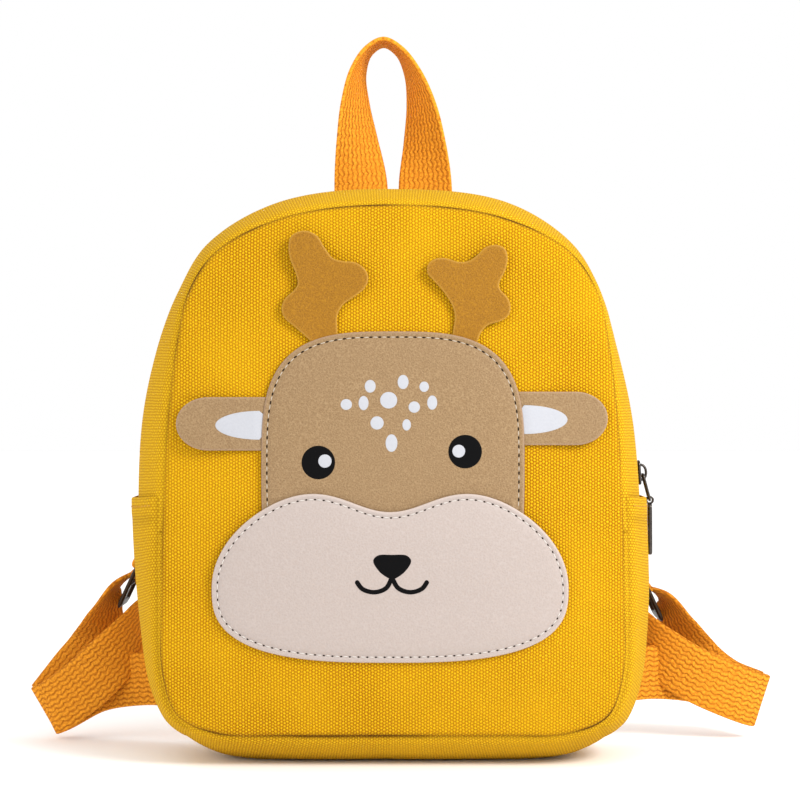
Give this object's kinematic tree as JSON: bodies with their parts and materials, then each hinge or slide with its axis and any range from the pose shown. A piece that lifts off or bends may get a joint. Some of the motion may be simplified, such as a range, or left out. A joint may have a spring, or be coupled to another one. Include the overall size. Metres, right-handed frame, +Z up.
{
  "type": "kids backpack",
  "caption": "Small round-topped canvas backpack with a zip over its top, side slip pockets, webbing straps and handle, and a sewn-on animal face on its front.",
  "frame": {"origin": "middle of the flat base that the bag stands on", "axes": "+Z up, -Y towards the front with the face, +Y towards the wearer, +X to the viewer's right"},
  "size_m": [0.3449, 0.1275, 0.3229],
  "materials": {
    "canvas": "yellow cotton canvas",
    "zip_tape": "yellow woven zip tape",
    "zip_coil": "yellow nylon coil",
    "webbing": "orange cotton webbing",
    "head_leather": "tan leather-look",
    "antler_leather": "ochre leather-look",
    "muzzle_leather": "pale leather-look",
    "gunmetal": "dark plated zinc"
  },
  "bodies": {
    "bag": {"front_panel": "canvas", "back_panel": "canvas", "zip_band_front": "canvas", "zip_band_rear": "canvas", "base_band": "canvas", "pocket_left": "canvas", "pocket_right": "canvas", "zip_tape": "zip_tape", "zip_coil": "zip_coil", "zip_slider": "gunmetal", "carry_handle": "webbing", "shoulder_strap_left": "webbing", "shoulder_strap_right": "webbing", "lower_strap_left": "webbing", "lower_strap_right": "webbing", "strap_slider_left": "gunmetal", "strap_slider_right": "gunmetal", "head_patch": "head_leather", "muzzle_patch": "muzzle_leather", "ear_left": "head_leather", "ear_right": "head_leather", "antler_left": "antler_leather", "antler_right": "antler_leather"},
    "zip_pull": {"zip_pull_link": "gunmetal", "zip_pull_tab": "gunmetal"}
  },
  "joints": [
    {"name": "pull_swing", "type": "hinge", "parent": "bag", "child": "zip_pull", "pos_m": [0.11109, 0.006, 0.12397], "axis": [0, -1, 0], "range_deg": [0, 150]}
  ]
}
